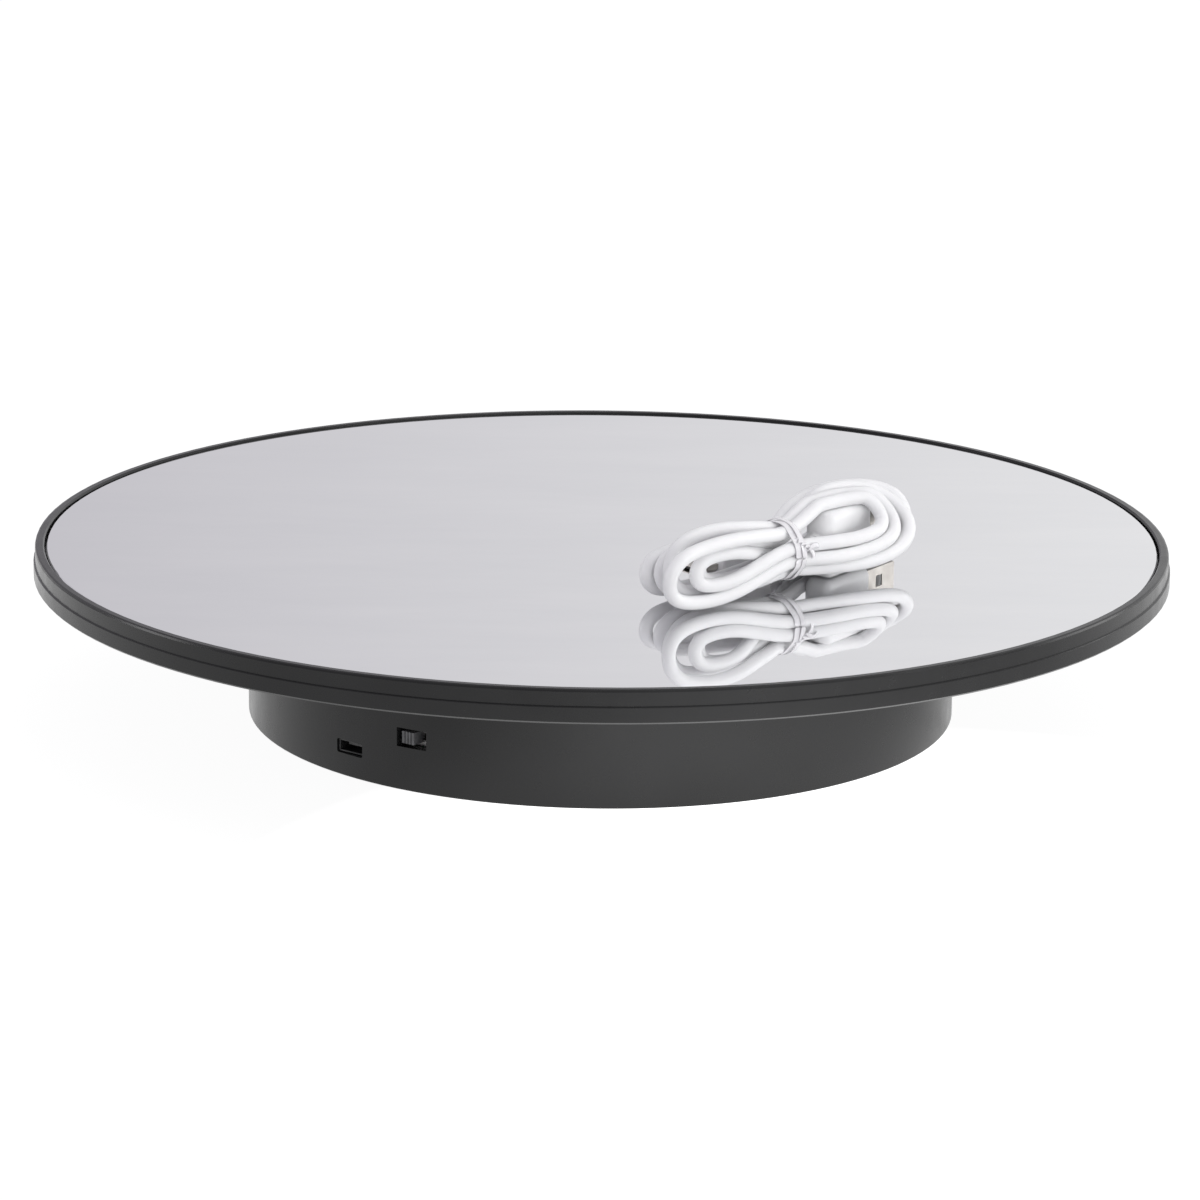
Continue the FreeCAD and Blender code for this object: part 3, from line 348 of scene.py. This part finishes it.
def dark_fastener():
    """Blackened screw."""
    return surface("dark_fastener", (0.05, 0.05, 0.052), (0.10, 0.10, 0.10), (0.28, 0.45), patch=700,
                   metallic=1.0, grain=5000)


def socket_metal_painted_shade():
    """Dull nickel of the power socket, its colour darkened to paint the shade deep in its opening."""
    return surface("socket_metal_painted_shade", (0.07, 0.07, 0.07), (0.11, 0.11, 0.11), (0.45, 0.6), patch=300,
                   grain=4000, metallic=1.0)


MATERIAL_MAKERS = {
    "black_plastic": rim_plastic,
    "black_plastic_lower": base_plastic,
    "mirror_glass": mirror_glass,
    "foam_pad": foam_pad,
    "steel": lambda: surface("bright_steel", (0.50, 0.50, 0.51), (0.62, 0.62, 0.63), (0.2, 0.36),
                             patch=300, grain=4000, metallic=1.0, stretch=(1, 1, 12)),
    "black_screw": dark_fastener,
    "gear_plastic": lambda: surface("gear_plastic", (0.74, 0.73, 0.69), (0.82, 0.81, 0.77), (0.35, 0.5),
                                    patch=150, grain=3000, subsurface=0.1),
    "brass": lambda: surface("turned_brass", (0.66, 0.44, 0.16), (0.80, 0.57, 0.25), (0.2, 0.35),
                             patch=300, grain=3500, metallic=1.0, stretch=(1, 1, 10)),
    "motor_steel": lambda: surface("plated_can", (0.42, 0.42, 0.42), (0.58, 0.57, 0.55), (0.25, 0.42),
                                   patch=120, grain=3500, metallic=1.0, stretch=(1, 1, 6)),
    "motor_cap": lambda: surface("motor_cap", (0.70, 0.70, 0.68), (0.80, 0.80, 0.78), (0.4, 0.55)),
    "rubber": lambda: surface("foot_rubber", (0.012, 0.012, 0.012), (0.03, 0.03, 0.03), (0.7, 0.9),
                              patch=300, grain=2500, grain_depth=0.00008),
    "roller_plastic": lambda: surface("roller_plastic", (0.62, 0.62, 0.60), (0.74, 0.74, 0.72),
                                      (0.3, 0.45), patch=300, grain=3000),
    "board": circuit_green,
    "switch_grey": lambda: surface("switch_grey", (0.055, 0.055, 0.058), (0.085, 0.085, 0.09),
                                   (0.4, 0.55), patch=700, grain=5000, grain_depth=0.00002),
    "wire_insulation": lambda: surface("wire_insulation", (0.55, 0.015, 0.012), (0.68, 0.03, 0.02),
                                       (0.3, 0.45), patch=300, grain=2500),
    "spring_steel": lambda: surface("spring_steel", (0.48, 0.47, 0.45), (0.66, 0.65, 0.62),
                                    (0.16, 0.3), patch=400, grain=4000, metallic=1.0),
    "lead_white": plug_moulding,
    "plug_metal": plug_metal,
    "tie_plastic": tie_film,
}


def dress_nodes():
    """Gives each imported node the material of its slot, and returns the materials by slot."""
    made = {slot: make() for slot, make in MATERIAL_MAKERS.items()}
    slots = {part["node"]: part["material_slot"] for part in frame["record"]["subparts"]}
    for name, node in nodes.items():
        node.data.materials.clear()
        node.data.materials.append(made[slots[name]])
    # the socket's metal gets a darkened colour that paints the shade inside its opening
    nodes["usb_socket"].data.materials[0] = socket_metal_painted_shade()
    return made


# ---------------------------------------------------------------- lead
def mix(one, two, share):
    """The point that share of the way from one to two."""
    return tuple(a + (b - a) * share for a, b in zip(one, two))


def loop_points(start, end, reach, first, last):
    """Points of one loop: out from a slot at the tie, round the bend and back to another slot."""
    radius = math.dist(first, last) / 2
    side = math.copysign(1, reach)
    straight = reach - side * radius

    def run(slot, far):
        return [(TIE_X + x * straight, *mix(slot, far, share)) for x, share in RUN_SHAPE]

    bend = []
    for angle in BEND_ANGLES:
        a = math.radians(angle)
        bend.append((TIE_X + straight + side * radius * math.cos(a),
                     *mix(first, last, (1 + math.sin(a)) / 2)))
    return run(start, first) + bend + run(end, last)[::-1]


def hank_turns():
    """Rough path of the lead from plug to plug, before its strands settle against each other."""
    points = [LEAD_START]
    tops = [turn[0] for turn in TURNS[1:]] + [LEAD_END[1:]]
    for (top, left, low, right), next_top in zip(TURNS, tops):
        points.append((TIE_X, *top))
        points += loop_points(top, low, left[0], left[2], left[1])
        points.append((TIE_X, *low))
        points += loop_points(low, next_top, right[0], right[1], right[2])
    return points[:-2] + [*LEAD_TAIL, LEAD_END]


def even_steps(points, step):
    """The same path in steps of one length."""
    points = np.array(points)
    along = np.concatenate(([0], np.cumsum(np.linalg.norm(np.diff(points, axis=0), axis=1))))
    marks = np.linspace(0, along[-1], round(along[-1] / step) + 1)
    return np.stack([np.interp(marks, along, points[:, k]) for k in range(3)], axis=1)


def squeeze(points):
    """Draws the strands in to the bundle's waist where the tie holds them."""
    hold = np.clip(HOLD_FULL - np.abs(points[:, 0] - TIE_X) / HOLD_REACH, 0, 1)
    away = points[:, 1:] - WAIST_CENTRE
    radius = np.linalg.norm(away, axis=1)
    excess = np.maximum(radius - WAIST_R, 0) * hold
    points[:, 1:] -= away * (excess / np.maximum(radius, 0.1))[:, None]
    return points


def keep_off(points, at, turn, x0, x1, half_y, half_z):
    """Moves the strands aside, or over the top, where they run into a block of a plug."""
    c, s = math.cos(turn), math.sin(turn)
    to_plug = np.array(((c, -s, 0), (s, c, 0), (0, 0, 1)))
    local = (points - at) @ to_plug
    side_room = half_y + LEAD_D / 2 - np.abs(local[:, 1])
    top_room = half_z + LEAD_D / 2 - local[:, 2]
    along = (local[:, 0] > x0 - PLUG_MARGIN) & (local[:, 0] < x1 + PLUG_MARGIN)
    inside = along & (side_room > 0) & (top_room > 0)
    up = inside & (top_room < side_room)
    aside = inside & ~up
    local[up, 2] += PLUG_SHARE * top_room[up]
    local[aside, 1] += PLUG_SHARE * (side_room * np.sign(local[:, 1]))[aside]
    return local @ to_plug.T + at


def settle(points, step):
    """Lets the strands push each other apart to a diameter, bend smoothly and lie on the mirror."""
    home = points.copy()
    count = len(points)
    steps_between = np.abs(np.subtract.outer(np.arange(count), np.arange(count)))
    apart = steps_between * step > OWN_NEIGHBOUR * LEAD_D
    rest = REST_SHARE * step
    for _ in range(SETTLE_ROUNDS):
        gaps = points[:, None] - points[None]
        distance = np.linalg.norm(gaps, axis=2)
        touching = apart & (distance < LEAD_D)
        push = np.where(touching, (LEAD_D - distance) / np.maximum(distance, 0.2), 0)
        moved = (gaps * push[:, :, None]).sum(1) * PUSH_SHARE
        points = points + np.clip(moved, -PUSH_LIMIT, PUSH_LIMIT)
        points[1:-1] += BEND_SHARE * ((points[2:] + points[:-2]) / 2 - points[1:-1])
        for _ in range(2):
            edge = points[1:] - points[:-1]
            length = np.linalg.norm(edge, axis=1, keepdims=True)
            slack = edge * (length - rest) / length * SLACK_SHARE
            points[:-1] += slack
            points[1:] -= slack
        points += HOME_SHARE * (home - points)
        points = squeeze(points)
        for plug in PLUG_BLOCKS:
            points = keep_off(points, *plug)
        points[:, 2] = np.maximum(points[:, 2], LEAD_D / 2)
        points[:2] = home[:2]
        points[-2:] = home[-2:]
    return points


def make_lead(material, points):
    """The lead as one spline through its settled turns."""
    place = hank_matrix()
    curve = bpy.data.curves.new("lead", "CURVE")
    curve.dimensions = "3D"
    spline = curve.splines.new("NURBS")
    spline.points.add(len(points) - 1)
    for control, point in zip(spline.points, points):
        control.co = (*(place @ Vector(point)), 1)
    spline.order_u = 3
    spline.use_endpoint_u = True
    spline.resolution_u = 4
    curve.bevel_depth = LEAD_D / 2 * MM
    curve.bevel_resolution = 5
    lead = bpy.data.objects.new("lead", curve)
    bpy.context.scene.collection.objects.link(lead)
    curve.materials.append(material)
    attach(lead, "platter")
    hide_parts("cord_hank")
    return lead


def line_of(lead):
    """Points along the lead's own spline, in the row frame."""
    bare = lead.data.copy()
    bare.bevel_depth = 0
    probe = bpy.data.objects.new("probe", bare)
    mesh = bpy.data.meshes.new_from_object(probe)
    points = np.array([tuple(v.co) for v in mesh.vertices])
    bpy.data.objects.remove(probe)
    bpy.data.curves.remove(bare)
    bpy.data.meshes.remove(mesh)
    return points


# ---------------------------------------------------------------- plugs and tie
def rounded_section(x, half_y, half_z, corner):
    """Rounded rectangle square to X."""
    ring = []
    for k, (sy, sz) in enumerate(((1, 1), (-1, 1), (-1, -1), (1, -1))):
        for i in range(CORNER_STEPS + 1):
            a = (k + i / CORNER_STEPS) * math.pi / 2
            ring.append((x, sy * (half_y - corner) + corner * math.cos(a),
                         sz * (half_z - corner) + corner * math.sin(a)))
    return ring


def round_section(x, radius):
    """Circle square to X, with as many points as a rounded rectangle."""
    count = 4 * (CORNER_STEPS + 1)
    return [(x, radius * math.cos(2 * math.pi * i / count), radius * math.sin(2 * math.pi * i / count))
            for i in range(count)]


def make_overmould(name, size, at, turn, corner, relief, material, node):
    """Plug body: a rounded block with softened ends, and a ribbed strain relief behind it."""
    length, thick, tall = size
    relief_length, relief_r = relief
    half_y, half_z = thick / 2, tall / 2
    rings = []
    for share in (0.0, 0.35, 0.7, 1.0):
        inset = SOFT_END * (1 - math.sqrt(1 - (1 - share) ** 2))
        rings.append(rounded_section(-SOFT_END * share, half_y - inset, half_z - inset, corner))
    rings.append(rounded_section(-0.6 * length, half_y, half_z, corner))
    for share in (0.0, 0.25, 0.5, 0.75, 1.0):
        shrink = 0.45 * (1 - math.cos(share * math.pi / 2))
        rings.append(rounded_section(-length + BACK_TAPER * (1 - share), half_y * (1 - shrink),
                                     half_z * (1 - shrink), corner * (1 - 0.4 * shrink)))
    body = loft(name, rings, plug_matrix(at, turn))
    rings = []
    pitch = relief_length / RIBS
    for rib in range(RIBS):
        radius = relief_r - 0.9 * rib / RIBS
        for along, less in ((0.0, 0.0), (0.55, 0.0), (0.62, RIB_GROOVE), (0.93, RIB_GROOVE)):
            rings.append(round_section(-length + 0.6 - (rib + along) * pitch, radius - less))
    tail = loft(name + "_relief", rings, plug_matrix(at, turn))
    for piece in (body, tail):
        dress(piece, material, "platter")
        bevel = piece.modifiers.new("soft_edges", "BEVEL")
        bevel.width = 0.00012
        bevel.segments = 2
        bevel.angle_limit = math.radians(35)
    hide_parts(node)
    return body, tail


def waist_outline(strands, count=48):
    """Closed line of (y, z) points round the strands at the tie, and its middle."""
    near = strands[np.abs(strands[:, 0] - TIE_X) < 2.2][:, 1:]
    middle = (near.max(0) + near.min(0)) / 2
    angles = [2 * math.pi * i / count for i in range(count)]
    reach = []
    for a in angles:
        outward = np.array((math.cos(a), math.sin(a)))
        reach.append(float(((near - middle) @ outward).max()) + LEAD_D / 2)
    smooth = [(reach[i - 1] + 2 * reach[i] + reach[(i + 1) % count]) / 4 for i in range(count)]
    outline = [(middle[0] + r * math.cos(a), middle[1] + r * math.sin(a)) for r, a in zip(smooth, angles)]
    return outline, middle


def ribbon(name, path, width, thickness, material, normals):
    """Thin flat strip along a path of points in the hank's own frame."""
    rings = []
    for i, point in enumerate(path):
        before, after = Vector(path[max(i - 1, 0)]), Vector(path[min(i + 1, len(path) - 1)])
        along = (after - before).normalized()
        out = normals[i]
        side = along.cross(out).normalized() * width / 2
        out = side.cross(along).normalized() * thickness / 2
        rings.append([Vector(point) + side + out, Vector(point) - side + out,
                      Vector(point) - side - out, Vector(point) + side - out])
    strip = loft(name, rings, hank_matrix())
    dress(strip, material, "platter")
    add_subdivision(strip)
    return strip


def make_tie(material, strands):
    """Twist tie: two wraps of flat film round the waist, a twisted neck at the front and two tails."""
    outline, middle = waist_outline(strands)
    count = len(outline)
    start = round(count * TIE_START)
    for wrap, (shift, lift, width) in enumerate(TIE_WRAPS):
        path, outward = [], []
        for i in range(count + 1):
            y, z = outline[(start + i) % count]
            out = Vector((0, y - middle[0], z - middle[1])).normalized()
            ripple = lift + 0.10 * math.sin(0.9 * i + 2 * wrap)
            path.append((TIE_X + shift - TIE_SLANT * out.y + 0.2 * math.sin(0.55 * i), y + out.y * ripple,
                         max(0.15, z + out.z * ripple)))
            outward.append(out)
        strip = ribbon(f"tie_wrap_{wrap + 1}", path, width, 0.2, material, outward)
        if wrap == 0:
            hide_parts("hank_tie")
    y, z = outline[round(count * KNOT_AT)]
    last = NECK_POINTS - 1
    neck = [(TIE_X + 0.4 + 2.8 * i / last, y - 0.3 - 1.0 * i / last, z - 2.0 * i / last)
            for i in range(NECK_POINTS)]
    for strand, phase in enumerate((0, math.pi)):
        turns = [phase + i * NECK_STEP for i in range(len(neck))]
        path = [(x, y + 0.4 * math.sin(a), z + 0.55 * math.cos(a)) for (x, y, z), a in zip(neck, turns)]
        ribbon(f"tie_neck_{strand + 1}", path, 1.2, 0.25, material,
               [Vector((0, math.sin(a), math.cos(a))) for a in turns])
    x, y, z = neck[-1]
    tails = (
        ((x, y, z), (x + 0.8, y - 0.3, z - 0.8), (x + 1.1, y - 0.2, z - 1.9), (x + 0.7, y + 0.2, z - 2.9)),
        ((x, y, z), (x + 0.9, y - 0.3, z + 0.7), (x + 1.9, y - 0.2, z + 0.7), (x + 2.8, y + 0.1, z)),
    )
    for tail, corners in enumerate(tails):
        path = [tuple(p) for p in even_steps(corners, 0.6)]
        ribbon(f"tie_tail_{tail + 1}", path, 1.1, 0.22, material,
               [Vector((0.1, -1.0, 0.35)).normalized()] * len(path))


# ---------------------------------------------------------------- stage
def see_through_from_below(tree, shader):
    """Makes the back of a face clear, so that the underside of the stand shows through the floor."""
    side = tree.nodes.new("ShaderNodeNewGeometry")
    clear = tree.nodes.new("ShaderNodeBsdfTransparent")
    choose = tree.nodes.new("ShaderNodeMixShader")
    tree.links.new(side.outputs["Backfacing"], choose.inputs[0])
    tree.links.new(shader.outputs["BSDF"], choose.inputs[1])
    tree.links.new(clear.outputs["BSDF"], choose.inputs[2])
    output = next(node for node in tree.nodes if node.type == "OUTPUT_MATERIAL")
    tree.links.new(choose.outputs["Shader"], output.inputs["Surface"])


def make_floor():
    """Pale floor with its own light, brightest in front of the stand, so shadows stay faint."""
    material, tree, shader = new_material("floor")
    tint = blend_colours(tree, noise(tree, 3, detail=4), (0.10, 0.10, 0.10), (0.12, 0.12, 0.12))
    tree.links.new(tint, shader.inputs["Base Color"])
    shader.inputs["Roughness"].default_value = 0.9
    shader.inputs["Specular IOR Level"].default_value = 0.0
    shader.inputs["Emission Color"].default_value = (1, 1, 1, 1)
    coordinates = tree.nodes.new("ShaderNodeTexCoord")
    away = tree.nodes.new("ShaderNodeVectorMath")
    away.operation = "DISTANCE"
    away.inputs[1].default_value = (*FLOOR_GLOW_AT, 0)
    tree.links.new(coordinates.outputs["Object"], away.inputs[0])
    glow = ranged(tree, away.outputs["Value"], *FLOOR_GLOW)
    tree.links.new(glow, shader.inputs["Emission Strength"])
    see_through_from_below(tree, shader)
    bm = bmesh.new()
    bmesh.ops.create_grid(bm, x_segments=8, y_segments=8, size=FLOOR_HALF)
    floor = mesh_object("floor", bm)
    floor.location = (0, FLOOR_Y, FLOOR_Z)
    floor.data.materials.append(material)


def make_world():
    """Soft studio surround: cool grey at the left, paler at the right, brightest overhead."""
    world = bpy.data.worlds.new("studio")
    bpy.context.scene.world = world
    world.use_nodes = True
    tree = world.node_tree
    tree.nodes.clear()
    out = tree.nodes.new("ShaderNodeOutputWorld")
    sky = tree.nodes.new("ShaderNodeBackground")
    coordinates = tree.nodes.new("ShaderNodeTexCoord")
    parts = tree.nodes.new("ShaderNodeSeparateXYZ")
    tree.links.new(coordinates.outputs["Generated"], parts.inputs["Vector"])
    across = ranged(tree, parts.outputs["X"], 0, 1, -0.16, 0.16)
    tint = blend_colours(tree, across, (0.58, 0.565, 0.605), (0.89, 0.89, 0.90))
    tree.links.new(tint, sky.inputs["Color"])
    overhead = ranged(tree, parts.outputs["Z"], 0.97, 1.0, 0.45, 0.9)
    tree.links.new(overhead, sky.inputs["Strength"])
    tree.links.new(sky.outputs["Background"], out.inputs["Surface"])


def add_softbox(name, place, aim, size, power):
    """Rectangular area light facing its aim."""
    data = bpy.data.lights.new(name, "AREA")
    data.shape = "RECTANGLE"
    data.size, data.size_y = size
    data.energy = power
    data.spread = math.radians(160)
    light = bpy.data.objects.new(name, data)
    bpy.context.scene.collection.objects.link(light)
    light.location = place
    light.rotation_euler = (Vector(aim) - Vector(place)).to_track_quat("-Z", "Y").to_euler()


def around(azimuth, distance, height):
    """Point at that azimuth from the front, positive towards +X."""
    a = math.radians(azimuth)
    return (distance * math.sin(a), -distance * math.cos(a), height)


def make_lights():
    """A large key overhead and softboxes low round the stand."""
    centre = (0, 0, 0.03)
    add_softbox("key", (0.5, -0.35, 1.5), centre, (1.4, 1.4), 3.0)
    for name, azimuth, distance, height, size, power in SOFTBOXES:
        add_softbox(name, around(azimuth, distance, height), centre, size, power)


def make_camera():
    """Long lens, looking a little down on the middle of the rim."""
    data = bpy.data.cameras.new("camera")
    data.sensor_width = 36.0
    data.lens = CAMERA_LENS
    data.shift_x, data.shift_y = CAMERA_SHIFT
    data.clip_start, data.clip_end = 0.05, 20.0
    camera = bpy.data.objects.new("camera", data)
    bpy.context.scene.collection.objects.link(camera)
    aim = Vector((0, 0, RIM_TOP))
    back = Vector((0, -math.cos(CAMERA_TILT), math.sin(CAMERA_TILT)))
    camera.location = aim + back * CAMERA_DISTANCE
    facing = (-back).to_track_quat("-Z", "Y")
    camera.rotation_mode = "QUATERNION"
    camera.rotation_quaternion = facing @ Matrix.Rotation(CAMERA_ROLL, 3, "Z").to_quaternion()
    bpy.context.scene.camera = camera


# ---------------------------------------------------------------- build
materials = dress_nodes()
make_camera()
strands = settle(even_steps(hank_turns(), STEP), STEP)
lead = make_lead(lead_sheath(), strands)
path = line_of(lead)
plug_a = make_overmould("big_plug_moulding", PLUG_A_BODY, PLUG_A_AT, PLUG_A_TURN, 1.8, (5.0, 3.1),
                        materials["lead_white"], "usb_a_plug_body")
plug_b = make_overmould("small_plug_moulding", PLUG_B_BODY, PLUG_B_AT, PLUG_B_TURN, 1.7, (7.0, 2.9),
                        materials["lead_white"], "micro_plug_body")
make_tie(materials["tie_plastic"], strands)
make_floor()
make_world()
make_lights()
bpy.context.scene.view_settings.view_transform = "Standard"
